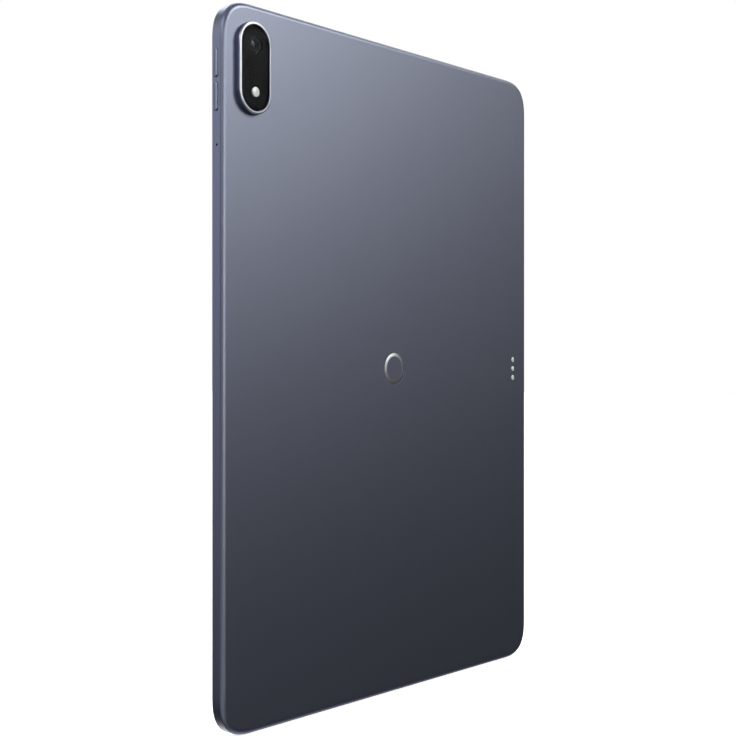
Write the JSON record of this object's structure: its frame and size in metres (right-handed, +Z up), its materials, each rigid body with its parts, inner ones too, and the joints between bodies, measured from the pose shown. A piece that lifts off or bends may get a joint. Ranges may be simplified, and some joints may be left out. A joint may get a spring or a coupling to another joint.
{
  "type": "tablet computer",
  "caption": "Slim tablet computer with a rounded aluminium back, flat side walls, a raised pill-shaped camera ring, side keys, an edge port and a full glass front.",
  "frame": {"origin": "middle of the lower short edge, on the floor, half way through the slab's thickness", "axes": "+Z up the long side, +Y out of the back, so the screen faces -Y, and +X across the back towards the side with the volume keys"},
  "size_m": [0.2103, 0.0083, 0.2901],
  "materials": {
    "anodised_aluminium": "matte blasted anodising, dark blue grey",
    "polished_aluminium": "polished",
    "cover_glass": "clear glass with a black border printed behind it",
    "dark_glass": "black glass",
    "screen_glass": "dark screen",
    "flash_diffuser": "milky lens",
    "adhesive_tape": "black foam tape",
    "seal_rubber": "matte",
    "black_plastic": "matte",
    "black_metal": "black satin",
    "lens_black": "gloss",
    "circuit_board": "solder mask",
    "chip_black": "moulded",
    "amber_flex": "polyimide film",
    "steel": "pressed",
    "steel_plate": "pressed",
    "nickel_plate": "plated",
    "graphite": "satin sheet",
    "white_film": "film",
    "battery_pouch": "dark laminate",
    "magnet": "plated",
    "copper": "wound copper",
    "cone_film": "film"
  },
  "bodies": {
    "tablet": {"rear_shell": "anodised_aluminium", "cover_glass": "cover_glass", "glass_adhesive": "adhesive_tape", "camera_ring": "polished_aluminium", "camera_window": "dark_glass", "camera_window_gasket": "adhesive_tape", "flash_lens": "flash_diffuser", "flash_led": "circuit_board", "flash_holder": "black_plastic", "rear_camera_sensor": "circuit_board", "rear_camera_housing": "black_metal", "rear_camera_flex": "amber_flex", "key_switches": "circuit_board", "key_brackets": "steel", "rear_emblem": "polished_aluminium", "keyboard_contacts": "nickel_plate", "contact_holder": "black_plastic", "contact_flex": "amber_flex", "display_cell": "screen_glass", "display_backlight": "white_film", "display_plate": "steel_plate", "display_flex": "amber_flex", "main_board": "circuit_board", "sub_board": "circuit_board", "board_connectors": "black_plastic", "processor": "chip_black", "board_chips": "chip_black", "processor_shield": "steel", "radio_shield": "steel", "heat_spreader": "graphite", "usb_receptacle": "steel", "usb_tongue": "black_plastic", "usb_seal": "seal_rubber", "main_flex": "amber_flex", "battery_cell_left": "battery_pouch", "battery_cell_right": "battery_pouch", "battery_adhesive": "white_film", "battery_board": "circuit_board", "speaker_magnets": "magnet", "speaker_meshes": "black_metal", "microphones": "steel", "front_camera": "black_metal", "front_camera_flex": "amber_flex", "light_sensor": "chip_black", "edge_magnets": "magnet", "stylus_coil": "copper", "antennas": "black_plastic", "screws": "steel", "speaker_box_upper_left": "black_plastic", "speaker_box_upper_right": "black_plastic", "speaker_box_lower_left": "black_plastic", "speaker_box_lower_right": "black_plastic"},
    "volume_up": {"volume_up_key": "anodised_aluminium"},
    "volume_down": {"volume_down_key": "anodised_aluminium"},
    "power": {"power_key": "anodised_aluminium"},
    "focus_lens": {"rear_camera_lens": "lens_black"},
    "cone_upper_left": {"speaker_cone_upper_left": "cone_film"},
    "cone_upper_right": {"speaker_cone_upper_right": "cone_film"},
    "cone_lower_left": {"speaker_cone_lower_left": "cone_film"},
    "cone_lower_right": {"speaker_cone_lower_right": "cone_film"}
  },
  "joints": [
    {"name": "volume_up_press", "type": "slide", "parent": "tablet", "child": "volume_up", "axis": [-1, 0, 0], "range_m": [0, 0.0003], "stiffness_N_per_m": 5000},
    {"name": "volume_down_press", "type": "slide", "parent": "tablet", "child": "volume_down", "axis": [-1, 0, 0], "range_m": [0, 0.0003], "stiffness_N_per_m": 5000},
    {"name": "power_press", "type": "slide", "parent": "tablet", "child": "power", "axis": [0, 0, -1], "range_m": [0, 0.0003], "stiffness_N_per_m": 5000},
    {"name": "camera_focus", "type": "slide", "parent": "tablet", "child": "focus_lens", "axis": [0, 1, 0], "range_m": [0, 0.0003], "stiffness_N_per_m": 400},
    {"name": "cone_stroke_upper_left", "type": "slide", "parent": "tablet", "child": "cone_upper_left", "axis": [0, 1, 0], "range_m": [-0.0003, 0.0003], "stiffness_N_per_m": 1500},
    {"name": "cone_stroke_upper_right", "type": "slide", "parent": "tablet", "child": "cone_upper_right", "axis": [0, 1, 0], "range_m": [-0.0003, 0.0003], "stiffness_N_per_m": 1500},
    {"name": "cone_stroke_lower_left", "type": "slide", "parent": "tablet", "child": "cone_lower_left", "axis": [0, 1, 0], "range_m": [-0.0003, 0.0003], "stiffness_N_per_m": 1500},
    {"name": "cone_stroke_lower_right", "type": "slide", "parent": "tablet", "child": "cone_lower_right", "axis": [0, 1, 0], "range_m": [-0.0003, 0.0003], "stiffness_N_per_m": 1500}
  ]
}
